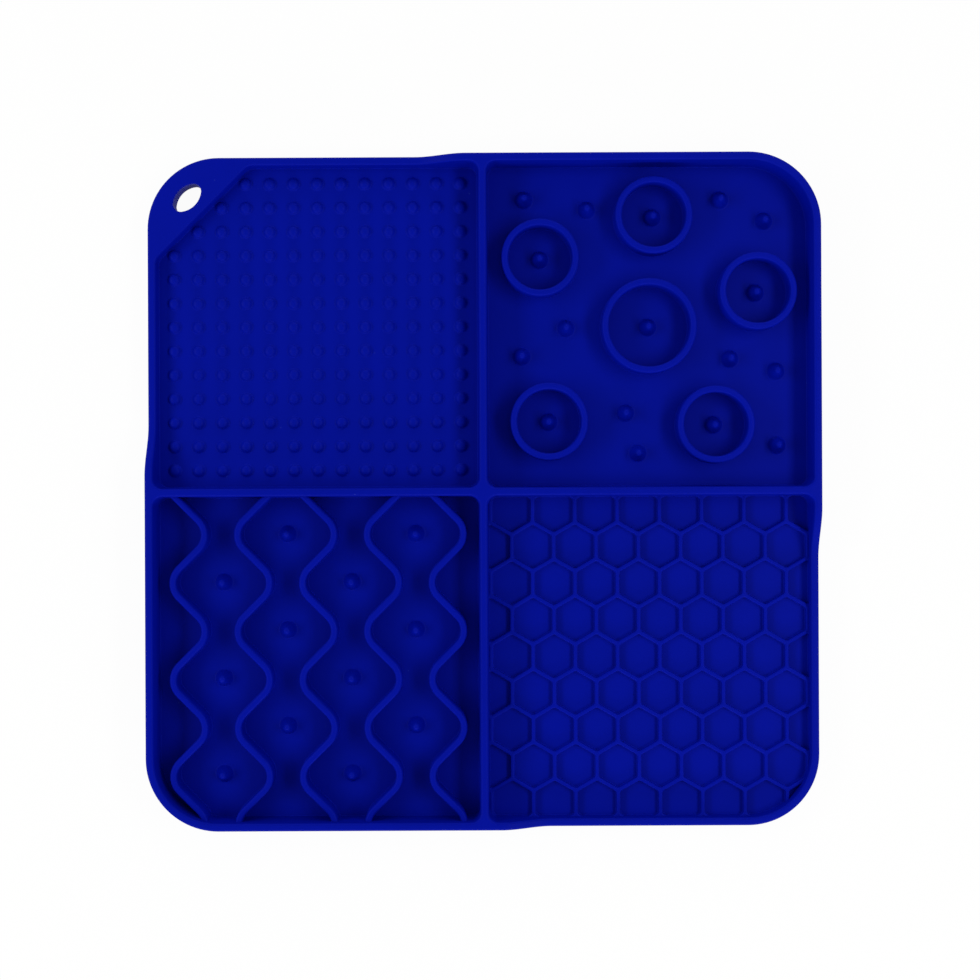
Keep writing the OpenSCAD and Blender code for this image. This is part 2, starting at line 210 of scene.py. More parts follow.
def buildMatBody():
    bm = bmesh.new()
    turns = quarterTurn(mat["edgeParts"])
    edge, foot, sole, floor = mat["edge"], mat["foot"], mat["sole"], mat["floor"]

    # Outside, from the underside up to the lip
    outer = [addRing(bm, outerLoop(wallLean(sole) + sole * (1 - math.sin(a))), sole * (1 - math.cos(a)))
             for a in turns]
    for a in turns:
        loop = outerLoop(0)
        ring = []
        for (x, y), (nx, ny) in zip(loop, outerLoop(1)):
            top = wallTop(x, y)
            inset = wallLean(top - edge) + edge * (1 - math.cos(a))
            ring.append(bm.verts.new(((x + (nx - x) * inset) * mm, (y + (ny - y) * inset) * mm,
                                      (top - edge + edge * math.sin(a)) * mm)))
        outer.append(ring)
    stitchLoops(bm, outer)

    # Trays, from the floor up to the rounded edge of the walls
    tops = []
    for sx, sy in ((1, 1), (-1, 1), (-1, -1), (1, -1)):
        rings = []
        for a in reversed(turns):
            grow = wallLean(floor + foot) + foot * (1 - math.cos(a))
            rings.append(addRing(bm, trayLoop(sx, sy, grow), floor + foot * (1 - math.sin(a))))
        for a in turns:
            base, unit = trayLoop(sx, sy, 0), trayLoop(sx, sy, -1)
            ring = []
            for (x, y), (gx, gy) in zip(base, unit):
                top = wallTop(x, y)
                back = edge * (1 - math.cos(a)) - wallLean(top - edge)
                ring.append(bm.verts.new(((x + (gx - x) * back) * mm, (y + (gy - y) * back) * mm,
                                          (top - edge + edge * math.sin(a)) * mm)))
            rings.append(ring)
        stitchLoops(bm, rings)
        fillBetween(bm, [rings[0]])
        tops.append(rings[-1])

    # Hanging hole with softly rounded lips
    holeTurns = quarterTurn(tab["holeRoundParts"])
    ease = tab["holeRound"]
    hole = [addRing(bm, holeLoop(ease * (1 - math.sin(a))), ease * (1 - math.cos(a))) for a in holeTurns]
    hole += [addRing(bm, holeLoop(ease * (1 - math.cos(a))), mat["low"] - ease * (1 - math.sin(a)))
             for a in holeTurns]
    stitchLoops(bm, hole)

    fillBetween(bm, [outer[-1]] + tops + [hole[-1]])
    fillBetween(bm, [outer[0], hole[0]], flip=True)
    return makeMesh("matBody", bm)


matBody = buildMatBody()
print("mat body made:", len(matBody.data.polygons), "faces")


def addNode(tree, kind, inputs=None, **settings):
    # Adds one node, sets what is named and links any input that is given a socket
    node = tree.nodes.new(kind)
    for key, value in settings.items():
        setattr(node, key, value)
    for key, value in (inputs or {}).items():
        if isinstance(value, bpy.types.NodeSocket):
            tree.links.new(value, node.inputs[key])
        else:
            node.inputs[key].default_value = value
    return node


def newTree(name, sockets):
    tree = bpy.data.node_groups.new(name, "GeometryNodeTree")
    tree.interface.new_socket("Geometry", in_out="INPUT", socket_type="NodeSocketGeometry")
    tree.interface.new_socket("Geometry", in_out="OUTPUT", socket_type="NodeSocketGeometry")
    for label, kind in sockets:
        tree.interface.new_socket(label, in_out="INPUT", socket_type="NodeSocket" + kind)
    return tree, tree.nodes.new("NodeGroupInput").outputs, tree.nodes.new("NodeGroupOutput").inputs


def growFrom(obj, tree, values):
    # Runs a tree on an object and keeps the result as a plain mesh
    modifier = obj.modifiers.new(tree.name, "NODES")
    modifier.node_group = tree
    for item in tree.interface.items_tree:
        if item.in_out == "INPUT" and item.name in values:
            modifier[item.identifier] = values[item.name]
    grown = bpy.data.meshes.new_from_object(obj.evaluated_get(bpy.context.evaluated_depsgraph_get()))
    obj.modifiers.clear()
    obj.data = grown
    grown.name = obj.name
    bm = bmesh.new()
    bm.from_mesh(grown)
    bmesh.ops.remove_doubles(bm, verts=bm.verts, dist=weld)
    bmesh.ops.recalc_face_normals(bm, faces=bm.faces)
    bm.to_mesh(grown)
    bm.free()
    return obj


def srgb(code):
    # Linear colour from sRGB hex
    parts = [int(code[i:i + 2], 16) / 255 for i in (1, 3, 5)]
    return tuple(c / 12.92 if c <= 0.04045 else ((c + 0.055) / 1.055) ** 2.4 for c in parts) + (1.0,)


# Moulded silicone rubber: one solid pigment, a satin skin from the blasted mould, soft broad highlights
silicone = {
    "pigment": "#000f9a",
    "cloud": "#000e8e",
    "lint": "#4a5ac8",
    "roughness": 0.52,
    "roughnessDrift": 0.05,     # the blasted skin is a little rougher in some places
    "ior": 1.41,
    "gloss": 0.05,          # specular level: the blasted skin scatters nearly all of its shine
    "cloudSize": 18.0,      # mm, slow drift of the pigment
    "grainSize": 0.35,      # mm, texture of the blasted mould, drawn coarser than the real 0.05 so that it shows
    "grainDepth": 0.006,    # mm
    "lintSpacing": 9.0,     # mm between the few specks of dust
    "lintReach": (0.012, 0.02),     # shares of that spacing where a speck is full and where it ends
    "lintCover": 0.35,
}


def buildSilicone():
    material = bpy.data.materials.new("satinMouldedSilicone")
    material.use_nodes = True
    tree = material.node_tree
    tree.nodes.clear()
    place = addNode(tree, "ShaderNodeTexCoord").outputs["Object"]

    cloud = addNode(tree, "ShaderNodeTexNoise", {
        "Vector": place, "Scale": 1 / (silicone["cloudSize"] * mm), "Detail": 3.0, "Roughness": 0.5})
    # Sockets 6 and 7 of a Mix node are its two colours, and output 2 is the mixed one
    tint = addNode(tree, "ShaderNodeMix", {
        "Factor": cloud.outputs["Fac"], 6: srgb(silicone["pigment"]), 7: srgb(silicone["cloud"])},
        data_type="RGBA")

    speckField = addNode(tree, "ShaderNodeTexVoronoi", {
        "Vector": place, "Scale": 1 / (silicone["lintSpacing"] * mm), "Randomness": 1.0})
    speck = addNode(tree, "ShaderNodeMapRange", {
        "Value": speckField.outputs["Distance"], "From Min": silicone["lintReach"][0],
        "From Max": silicone["lintReach"][1], "To Min": silicone["lintCover"], "To Max": 0.0})
    dusty = addNode(tree, "ShaderNodeMix", {
        "Factor": speck.outputs["Result"], 6: tint.outputs[2], 7: srgb(silicone["lint"])}, data_type="RGBA")

    drift = silicone["roughnessDrift"]
    sheen = addNode(tree, "ShaderNodeMapRange", {
        "Value": cloud.outputs["Fac"], "To Min": silicone["roughness"] - drift,
        "To Max": silicone["roughness"] + drift})
    grain = addNode(tree, "ShaderNodeTexNoise", {
        "Vector": place, "Scale": 1 / (silicone["grainSize"] * mm), "Detail": 2.0})
    bump = addNode(tree, "ShaderNodeBump", {
        "Height": grain.outputs["Fac"], "Strength": 1.0, "Distance": silicone["grainDepth"] * mm})
    skin = addNode(tree, "ShaderNodeBsdfPrincipled", {
        "Base Color": dusty.outputs[2], "Roughness": sheen.outputs["Result"], "IOR": silicone["ior"],
        "Specular IOR Level": silicone["gloss"], "Normal": bump.outputs["Normal"]})
    addNode(tree, "ShaderNodeOutputMaterial", {"Surface": skin.outputs["BSDF"]})
    return material


siliconeSkin = buildSilicone()


def lathe(name, outline, sides):
    # Turns a list of (radius, height) points round the Z axis into a closed shape
    bm = bmesh.new()
    rings = []
    for radius, z in outline:
        if radius < 1e-9:
            rings.append([bm.verts.new((0, 0, z * mm))] * sides)
        else:
            rings.append(addRing(bm, arcPoints((0, 0), radius, 0, 360 * (sides - 1) / sides, sides - 1), z))
    for lower, upper in zip(rings, rings[1:]):
        for i in range(sides):
            k = (i + 1) % sides
            face = list(dict.fromkeys((lower[i], lower[k], upper[k], upper[i])))
            if len(face) > 2:
                bm.faces.new(face)
    for ring, flip in ((rings[0], True), (rings[-1], False)):
        if len(set(ring)) > 2:
            bm.faces.new(ring[::-1] if flip else ring)
    return makeMesh(name, bm)


def pointCloud(name, places):
    mesh = bpy.data.meshes.new(name)
    mesh.from_pydata([(x * mm, y * mm, mat["floor"] * mm) for x, y in places], [], [])
    obj = bpy.data.objects.new(name, mesh)
    bpy.context.scene.collection.objects.link(obj)
    return obj


trayRoom = mat["half"] - mat["rim"] - mat["divider"] / 2
trayMiddle = mat["divider"] / 2 + trayRoom / 2


def traySpot(share):
    # Place in the ring tray, from shares of the tray's size counted from its middle
    return (trayMiddle + share[0] * trayRoom, trayMiddle + share[1] * trayRoom)


sink = 0.4      # mm, how far each raised shape goes down into the floor
film = 0.012    # mm, how far its skirt lies above the floor

nub = {
    "diameter": 3.6,
    "height": 1.2,
    "count": 13,
    "margin": 5.4,          # from the dividers
    "rimMargin": 5.1,       # from the rims
    "ease": 0.35,           # how far the foot eases out past the nub
    "profile": [(1.02, 0.11), (0.9, 0.48), (0.68, 0.82), (0.34, 0.97), (0, 1)],     # shares of radius and height
    "sides": 12,
}


def buildNubs():
    # A shallow dome that eases into the floor
    r, h = nub["diameter"] / 2, nub["height"]
    outline = [(0, -sink), (r + nub["ease"], -sink), (r + nub["ease"], film)]
    outline += [(r * across, h * up) for across, up in nub["profile"]]
    shape = lathe("nubShape", outline, nub["sides"])

    tree, given, result = newTree("nubGrid", [
        ("Shape", "Object"), ("Columns", "Int"), ("Spacing", "Float"), ("Corner Reach", "Float"),
        ("Middle", "Vector"), ("Skin", "Material")])
    span = addNode(tree, "ShaderNodeMath", {0: given["Columns"], 1: 1.0}, operation="SUBTRACT")
    size = addNode(tree, "ShaderNodeMath", {0: span.outputs[0], 1: given["Spacing"]}, operation="MULTIPLY")
    grid = addNode(tree, "GeometryNodeMeshGrid", {
        "Size X": size.outputs[0], "Size Y": size.outputs[0],
        "Vertices X": given["Columns"], "Vertices Y": given["Columns"]})
    where = addNode(tree, "ShaderNodeSeparateXYZ", {0: addNode(tree, "GeometryNodeInputPosition").outputs[0]})
    # Places too near the tab, at the back left, stay empty
    reach = addNode(tree, "ShaderNodeMath", {0: where.outputs["Y"], 1: where.outputs["X"]}, operation="SUBTRACT")
    cut = addNode(tree, "FunctionNodeCompare", {"A": reach.outputs[0], "B": given["Corner Reach"]},
                  data_type="FLOAT", operation="GREATER_THAN")
    kept = addNode(tree, "GeometryNodeDeleteGeometry", {
        "Geometry": grid.outputs["Mesh"], "Selection": cut.outputs[0]}, domain="POINT")
    moved = addNode(tree, "GeometryNodeSetPosition", {"Geometry": kept.outputs[0], "Offset": given["Middle"]})
    one = addNode(tree, "GeometryNodeObjectInfo", {"Object": given["Shape"], "As Instance": True})
    spread = addNode(tree, "GeometryNodeInstanceOnPoints", {
        "Points": moved.outputs[0], "Instance": one.outputs["Geometry"]})
    solid = addNode(tree, "GeometryNodeRealizeInstances", {0: spread.outputs[0]})
    skinned = addNode(tree, "GeometryNodeSetMaterial", {"Geometry": solid.outputs[0], "Material": given["Skin"]})
    tree.links.new(skinned.outputs[0], result[0])

    uneven = nub["margin"] - nub["rimMargin"]
    middle = mat["divider"] / 2 + (trayRoom + uneven) / 2
    spacing = (trayRoom - nub["margin"] - nub["rimMargin"]) / (nub["count"] - 1)
    footReach = wallLean(mat["floor"] + mat["foot"]) + mat["foot"]
    reachMm = trayRoom - tab["leg"] - math.sqrt(2) * (footReach + nub["diameter"] / 2) - uneven
    nubs = pointCloud("nubs", [])
    growFrom(nubs, tree, {
        "Shape": shape, "Columns": nub["count"], "Spacing": spacing * mm, "Corner Reach": reachMm * mm,
        "Middle": (-middle * mm, middle * mm, mat["floor"] * mm), "Skin": siliconeSkin})
    bpy.data.objects.remove(shape)
    return nubs


nubs = buildNubs()
print("nubs made:", len(nubs.data.polygons), "faces")

ring = {
    "height": 6.5,
    "thickness": 2.0,
    "middleDiameter": 28.2,
    "outerDiameter": 23.0,
    # Shares of the ring tray's size from its middle, the large ring first
    "places": [(0, -0.004), (-0.335, 0.207), (0.015, 0.337), (0.335, 0.102), (0.204, -0.308), (-0.309, -0.297)],
    "sides": 120,
}

peg = {
    "diameter": 4.7,
    "tip": 2.2,
    "height": 5.0,
    "foot": 0.7,
    "skirt": 0.4,           # how far the skirt at the foot reaches past the fillet
    "parts": 6,
    "sides": 32,
    # Shares of the ring tray's size from its middle
    "loose": [(-0.383, 0.393), (-0.189, 0.361), (0.225, 0.391), (0.362, 0.325), (-0.254, -0.006), (-0.391, -0.093),
              (0.255, -0.103), (0.398, -0.142), (-0.07, -0.27), (-0.032, -0.395), (0.401, -0.372)],
}


def footCurve(reach, radius, parts):
    # Points of a fillet from the floor up to a standing wall, as (distance, height)
    return [(reach + radius * (1 - math.sin(a)), max(film, radius * (1 - math.cos(a)))) for a in quarterTurn(parts)]


def buildPegs(name, places, tree):
    r, tip, h = peg["diameter"] / 2, peg["tip"] / 2, peg["height"]
    reach, parts = r + peg["foot"] + peg["skirt"], peg["parts"]
    outline = [(0, -sink), (reach, -sink), (reach, film)]
    outline += footCurve(r, peg["foot"], parts)
    lean = math.atan2(r - tip, h - peg["foot"] - tip)
    for i in range(parts + 1):
        a = lean + (math.pi / 2 - lean) * i / parts
        outline.append((tip * math.cos(a) if i < parts else 0, h - tip + tip * math.sin(a)))
    shape = lathe("pegShape", outline, peg["sides"])
    pegs = growFrom(pointCloud(name, places), tree, {"Shape": shape, "Skin": siliconeSkin})
    bpy.data.objects.remove(shape)
    return pegs


def placesTree():
    # Puts one shape on each point of a mesh
    tree, given, result = newTree("pegPlaces", [("Shape", "Object"), ("Skin", "Material")])
    one = addNode(tree, "GeometryNodeObjectInfo", {"Object": given["Shape"], "As Instance": True})
    spread = addNode(tree, "GeometryNodeInstanceOnPoints", {
        "Points": given["Geometry"], "Instance": one.outputs["Geometry"]})
    solid = addNode(tree, "GeometryNodeRealizeInstances", {0: spread.outputs[0]})
    skinned = addNode(tree, "GeometryNodeSetMaterial", {"Geometry": solid.outputs[0], "Material": given["Skin"]})
    tree.links.new(skinned.outputs[0], result[0])
    return tree


bead = {
    "edge": 0.7,            # rounded edges along the tops of the rings and the wave ribs
    "foot": 0.25,
    "skirt": 0.4,           # how far the skirt at the foot reaches past the fillet
    "parts": 6,
}


def beadSection(name, thickness, height):
    # Closed section of a standing wall with rounded top edges and filleted feet, drawn in the XY plane
    half, edge, foot = thickness / 2, bead["edge"], bead["foot"]
    side = [(half + foot + bead["skirt"], -sink), (half + foot + bead["skirt"], film)]
    side += footCurve(half, foot, bead["parts"]) + arcPoints((half - edge, height - edge), edge, 0, 90, bead["parts"])
    outline = side + [(-x, y) for x, y in reversed(side)]
    mesh = bpy.data.meshes.new(name)
    count = len(outline)
    # A swept section's minus Y points up
    mesh.from_pydata([(x * mm, -y * mm, 0) for x, y in outline], [(i, (i + 1) % count) for i in range(count)], [])
    obj = bpy.data.objects.new(name, mesh)
    bpy.context.scene.collection.objects.link(obj)
    return obj


wave = {
    "height": 6.5,
    "thickness": 2.0,
    "pitch": 19.2,
    "length": 28.7,
    "bend": 6.0,            # radius of the rounded corners
    "bendParts": 12,
    "shift": 6.1,           # how far the corners lie towards the front of the tray's middle line
    "offset": 0.3,          # how far the middle rib lies to the right of the tray's middle line
    "count": 5,
    "runs": 9,              # corners of each rib before it is trimmed to the tray
    "embed": 0.2,           # ribs run this far past the tray's lip line into its walls
}


def wavePegPlaces():
    room = trayRoom / 2 - mat["nook"] - peg["diameter"] / 2 - peg["foot"]
    places = []
    for i in range(1, wave["count"]):
        for k in range(-wave["runs"], wave["runs"] + 1):
            y = k * wave["length"] / 2 - wave["shift"]
            if (i + k) % 2 and abs(y) < room:
                x = -trayMiddle + wave["offset"] + (i - wave["count"] / 2) * wave["pitch"]
                places.append((x, -trayMiddle + y))
    return places


pegTree = placesTree()
ringPegs = buildPegs("ringPegs", [traySpot(p) for p in ring["places"]], pegTree)
loosePegs = buildPegs("loosePegs", [traySpot(p) for p in peg["loose"]], pegTree)
wavePegs = buildPegs("wavePegs", wavePegPlaces(), pegTree)
print("pegs made")


def buildRings():
    tree, given, result = newTree("ringSweep", [
        ("Section", "Object"), ("Thickness", "Float"), ("Sides", "Int"), ("Skin", "Material")])
    across = addNode(tree, "GeometryNodeInputNamedAttribute", {"Name": "outerDiameter"}, data_type="FLOAT")
    clear = addNode(tree, "ShaderNodeMath", {0: across.outputs["Attribute"], 1: given["Thickness"]},
                    operation="SUBTRACT")
    radius = addNode(tree, "ShaderNodeMath", {0: clear.outputs[0], 1: 0.5}, operation="MULTIPLY")
    unit = addNode(tree, "GeometryNodeCurvePrimitiveCircle", {"Resolution": given["Sides"], "Radius": 1.0})
    spread = addNode(tree, "GeometryNodeInstanceOnPoints", {
        "Points": given["Geometry"], "Instance": unit.outputs["Curve"], "Scale": radius.outputs[0]})
    paths = addNode(tree, "GeometryNodeRealizeInstances", {0: spread.outputs[0]})
    drawn = addNode(tree, "GeometryNodeObjectInfo", {"Object": given["Section"]})
    section = addNode(tree, "GeometryNodeMeshToCurve", {0: drawn.outputs["Geometry"]})
    swept = addNode(tree, "GeometryNodeCurveToMesh", {
        "Curve": paths.outputs[0], "Profile Curve": section.outputs[0]})
    solid = addNode(tree, "GeometryNodeRealizeInstances", {0: swept.outputs[0]})
    skinned = addNode(tree, "GeometryNodeSetMaterial", {"Geometry": solid.outputs[0], "Material": given["Skin"]})
    tree.links.new(skinned.outputs[0], result[0])

    section = beadSection("ringSection", ring["thickness"], ring["height"])
    rings = pointCloud("rings", [traySpot(p) for p in ring["places"]])
    diameters = [ring["middleDiameter"]] + [ring["outerDiameter"]] * (len(ring["places"]) - 1)
    sizes = rings.data.attributes.new("outerDiameter", "FLOAT", "POINT")
    sizes.data.foreach_set("value", [d * mm for d in diameters])
    growFrom(rings, tree, {"Section": section, "Thickness": ring["thickness"] * mm, "Sides": ring["sides"],
                           "Skin": siliconeSkin})
    bpy.data.objects.remove(section)
    return rings


rings = buildRings()
print("rings made:", len(rings.data.polygons), "faces")


def trayCuts(sx, sy, embed):
    # Planes along the straight walls and round the outer corner of a tray, each as (point, direction out)
    near = mat["divider"] / 2 - embed
    far = mat["half"] - mat["rim"] + embed
    centre = mat["half"] - mat["cornerRadius"]
    big = mat["cornerRadius"] - mat["rim"] + embed
    cuts = [((near, 0), (-1, 0)), ((0, near), (0, -1)), ((far, 0), (1, 0)), ((0, far), (0, 1))]
    for i in range(1, mat["cornerParts"]):
        a = math.radians(90 * i / mat["cornerParts"])
        cuts.append(((centre + big * math.cos(a), centre + big * math.sin(a)), (math.cos(a), math.sin(a))))
    return [((sx * px * mm, sy * py * mm, 0), (sx * nx, sy * ny, 0)) for (px, py), (nx, ny) in cuts]


def cutAway(bm, point, direction):
    return bmesh.ops.bisect_plane(
        bm, geom=bm.verts[:] + bm.edges[:] + bm.faces[:], dist=1e-8, plane_co=point, plane_no=direction,
        clear_outer=True)["geom_cut"]


def trimRibs(obj, sx, sy, embed):
    # Cuts the ribs off inside the walls of their tray and closes each cut
    bm = bmesh.new()
    bm.from_mesh(obj.data)
    for point, direction in trayCuts(sx, sy, embed):
        cut = cutAway(bm, point, direction)
        edges = [e for e in cut if isinstance(e, bmesh.types.BMEdge) and e.is_boundary]
        if edges:
            bmesh.ops.triangle_fill(bm, use_beauty=True, use_dissolve=False, edges=edges)
    bmesh.ops.recalc_face_normals(bm, faces=bm.faces)
    bm.to_mesh(obj.data)
    bm.free()


def buildWaveRibs():
    tree, given, result = newTree("waveSweep", [
        ("Section", "Object"), ("Ribs", "Int"), ("Pitch", "Float"), ("Wave Length", "Float"), ("Runs", "Int"),
        ("Bend Radius", "Float"), ("Bend Parts", "Int"), ("Middle", "Vector"), ("Skin", "Material")])
    half = addNode(tree, "ShaderNodeMath", {0: given["Wave Length"], 1: 0.5}, operation="MULTIPLY")
    line = addNode(tree, "GeometryNodeMeshLine", {"Count": given["Runs"]}, mode="OFFSET")
    step = addNode(tree, "ShaderNodeCombineXYZ", {"Y": half.outputs[0]})
    tree.links.new(step.outputs[0], line.inputs["Offset"])
    # Corners lie a quarter wave to the left and right in turn
    index = addNode(tree, "GeometryNodeInputIndex").outputs[0]
    odd = addNode(tree, "ShaderNodeMath", {0: index, 1: 2.0}, operation="MODULO")
    side = addNode(tree, "ShaderNodeMath", {0: odd.outputs[0], 1: 0.5}, operation="SUBTRACT")
    shift = addNode(tree, "ShaderNodeMath", {0: side.outputs[0], 1: half.outputs[0]}, operation="MULTIPLY")
    offset = addNode(tree, "ShaderNodeCombineXYZ", {"X": shift.outputs[0]})
    zigzag = addNode(tree, "GeometryNodeSetPosition", {
        "Geometry": line.outputs[0], "Offset": offset.outputs[0]})
    path = addNode(tree, "GeometryNodeMeshToCurve", {0: zigzag.outputs[0]})
    rounded = addNode(tree, "GeometryNodeFilletCurve", {
        0: path.outputs[0], "Radius": given["Bend Radius"], "Count": given["Bend Parts"], "Limit Radius": True},
        mode="POLY")
    # Every second rib is turned left for right
    places = addNode(tree, "GeometryNodeMeshLine", {"Count": given["Ribs"]}, mode="OFFSET")
    across = addNode(tree, "ShaderNodeCombineXYZ", {"X": given["Pitch"]})
    tree.links.new(across.outputs[0], places.inputs["Offset"])
    moved = addNode(tree, "GeometryNodeSetPosition", {"Geometry": places.outputs[0], "Offset": given["Middle"]})
    mirror = addNode(tree, "ShaderNodeMath", {0: side.outputs[0], 1: -2.0}, operation="MULTIPLY")
    scale = addNode(tree, "ShaderNodeCombineXYZ", {"X": mirror.outputs[0], "Y": 1.0, "Z": 1.0})
    spread = addNode(tree, "GeometryNodeInstanceOnPoints", {
        "Points": moved.outputs[0], "Instance": rounded.outputs[0], "Scale": scale.outputs[0]})
    paths = addNode(tree, "GeometryNodeRealizeInstances", {0: spread.outputs[0]})
    drawn = addNode(tree, "GeometryNodeObjectInfo", {"Object": given["Section"]})
    section = addNode(tree, "GeometryNodeMeshToCurve", {0: drawn.outputs["Geometry"]})
    swept = addNode(tree, "GeometryNodeCurveToMesh", {
        "Curve": paths.outputs[0], "Profile Curve": section.outputs[0], "Fill Caps": True})
    solid = addNode(tree, "GeometryNodeRealizeInstances", {0: swept.outputs[0]})
    skinned = addNode(tree, "GeometryNodeSetMaterial", {"Geometry": solid.outputs[0], "Material": given["Skin"]})
    tree.links.new(skinned.outputs[0], result[0])

    section = beadSection("ribSection", wave["thickness"], wave["height"])
    ribs = pointCloud("waveRibs", [])
    halfRuns = (wave["runs"] - 1) / 2
    growFrom(ribs, tree, {
        "Section": section, "Ribs": wave["count"], "Pitch": wave["pitch"] * mm, "Wave Length": wave["length"] * mm,
        "Runs": wave["runs"], "Bend Radius": wave["bend"] * mm,
        "Bend Parts": wave["bendParts"], "Skin": siliconeSkin,
        "Middle": ((-trayMiddle + wave["offset"] - (wave["count"] - 1) / 2 * wave["pitch"]) * mm,
                   (-trayMiddle - wave["shift"] - halfRuns * wave["length"] / 2) * mm, mat["floor"] * mm)})
    bpy.data.objects.remove(section)
    trimRibs(ribs, -1, -1, wave["embed"])
    return ribs


waveRibs = buildWaveRibs()
print("wave ribs made:", len(waveRibs.data.polygons), "faces")

comb = {
    "pitch": 12.66,
    "thickness": 1.15,
    "height": 1.6,
    "shift": 3.25,          # of the middle column to the right of the tray's middle
    "rows": 13,
    "columns": 11,
    "crown": 0.35,          # rounding along the tops of the walls
    "foot": 0.25,
    "cornerRadius": 1.0,    # rounding of the cells' upright corners
    "cornerParts": 4,
    "edgeParts": 4,
    "weld": 0.01,           # neighbouring cells' edges closer than this become one
    "embed": 0.2,           # the sheet runs this far past the tray's lip line into its walls
}


def cellLoop(inset, sharp=False):
    # Hexagon inset from the middle lines of its walls, with rounded corners
    reach = comb["pitch"] / 2 - inset
    radius = 0.0 if sharp else comb["cornerRadius"]
    parts = comb["cornerParts"]
    points = []
    for i in range(6):
        turn = math.radians(60 * i + 30)
        far = (reach - radius) / math.cos(math.radians(30))
        centre = (far * math.cos(turn), far * math.sin(turn))
        points += arcPoints(centre, radius, 60 * i, 60 * i + 60, parts)
    return points


def buildComb():
    # One cell: its floor, the foot fillet, the wall and half of the wall's crown
    bm = bmesh.new()
    half, crown, foot, top = comb["thickness"] / 2, comb["crown"], comb["foot"], comb["height"]
    turns = quarterTurn(comb["edgeParts"])
    rings = []
    for a in turns:
        rings.append(addRing(bm, cellLoop(half + foot * (1 - math.sin(a))), max(film, foot * (1 - math.cos(a)))))
    for a in turns:
        rings.append(addRing(bm, cellLoop(half - crown * (1 - math.cos(a))), top - crown * (1 - math.sin(a))))
    rings.append(addRing(bm, cellLoop(0, sharp=True), top))
    stitchLoops(bm, rings)
    bm.faces.new(rings[0])
    shape = makeMesh("cellShape", bm)

    tree, given, result = newTree("combGrid", [
        ("Shape", "Object"), ("Rows", "Int"), ("Columns", "Int"), ("Pitch", "Float"), ("Middle", "Vector"),
        ("Skin", "Material")])
    count = addNode(tree, "ShaderNodeMath", {0: given["Rows"], 1: given["Columns"]}, operation="MULTIPLY")
    points = addNode(tree, "GeometryNodePoints", {"Count": count.outputs[0]})
    index = addNode(tree, "GeometryNodeInputIndex").outputs[0]
    rowShare = addNode(tree, "ShaderNodeMath", {0: index, 1: given["Columns"]}, operation="DIVIDE")
    row = addNode(tree, "ShaderNodeMath", {0: rowShare.outputs[0]}, operation="FLOOR")
    column = addNode(tree, "ShaderNodeMath", {0: index, 1: given["Columns"]}, operation="MODULO")
    # Neighbouring rows lie half a cell apart
    oddRow = addNode(tree, "ShaderNodeMath", {0: row.outputs[0], 1: 2.0}, operation="MODULO")
    stagger = addNode(tree, "ShaderNodeMath", {0: oddRow.outputs[0], 1: 0.5}, operation="MULTIPLY")
    along = addNode(tree, "ShaderNodeMath", {0: column.outputs[0], 1: stagger.outputs[0]}, operation="ADD")
    x = addNode(tree, "ShaderNodeMath", {0: along.outputs[0], 1: given["Pitch"]}, operation="MULTIPLY")
    rowStep = addNode(tree, "ShaderNodeMath", {0: given["Pitch"], 1: math.sqrt(3) / 2}, operation="MULTIPLY")
    y = addNode(tree, "ShaderNodeMath", {0: row.outputs[0], 1: rowStep.outputs[0]}, operation="MULTIPLY")
    place = addNode(tree, "ShaderNodeCombineXYZ", {"X": x.outputs[0], "Y": y.outputs[0]})
    placed = addNode(tree, "ShaderNodeVectorMath", {0: place.outputs[0], 1: given["Middle"]}, operation="ADD")
    tree.links.new(placed.outputs[0], points.inputs["Position"])
    one = addNode(tree, "GeometryNodeObjectInfo", {"Object": given["Shape"], "As Instance": True})
    spread = addNode(tree, "GeometryNodeInstanceOnPoints", {
        "Points": points.outputs[0], "Instance": one.outputs["Geometry"]})
    solid = addNode(tree, "GeometryNodeRealizeInstances", {0: spread.outputs[0]})
    joined = addNode(tree, "GeometryNodeMergeByDistance", {0: solid.outputs[0], "Distance": comb["weld"] * mm})
    skinned = addNode(tree, "GeometryNodeSetMaterial", {"Geometry": joined.outputs[0], "Material": given["Skin"]})
    tree.links.new(skinned.outputs[0], result[0])

    rowMiddle, columnMiddle = (comb["rows"] - 1) // 2, (comb["columns"] - 1) // 2
    cells = pointCloud("honeycomb", [])
    growFrom(cells, tree, {
        "Shape": shape, "Rows": comb["rows"], "Columns": comb["columns"], "Pitch": comb["pitch"] * mm,
        "Middle": ((trayMiddle + comb["shift"] + (0.5 - columnMiddle) * comb["pitch"]) * mm,
                   (-trayMiddle - rowMiddle * comb["pitch"] * math.sqrt(3) / 2) * mm, mat["floor"] * mm),
        "Skin": siliconeSkin})
    bpy.data.objects.remove(shape)
    trimSheet(cells, 1, -1, comb["embed"])
    return cells


def trimSheet(obj, sx, sy, embed):
    # Trims the comb's sheet to its tray and closes it with a flat underside inside the floor
    bm = bmesh.new()
    bm.from_mesh(obj.data)
    for point, direction in trayCuts(sx, sy, embed):
        cutAway(bm, point, direction)
    border = [e for e in bm.edges if e.is_boundary]
    hung = bmesh.ops.extrude_edge_only(bm, edges=border)["geom"]
    for v in [g for g in hung if isinstance(g, bmesh.types.BMVert)]:
        v.co.z = (mat["floor"] - sink) * mm
    rim = [g for g in hung if isinstance(g, bmesh.types.BMEdge) and g.is_boundary]
    bmesh.ops.contextual_create(bm, geom=rim)
    bmesh.ops.recalc_face_normals(bm, faces=bm.faces)
    bm.to_mesh(obj.data)
    bm.free()


honeycomb = buildComb()
print("honeycomb made:", len(honeycomb.data.polygons), "faces")

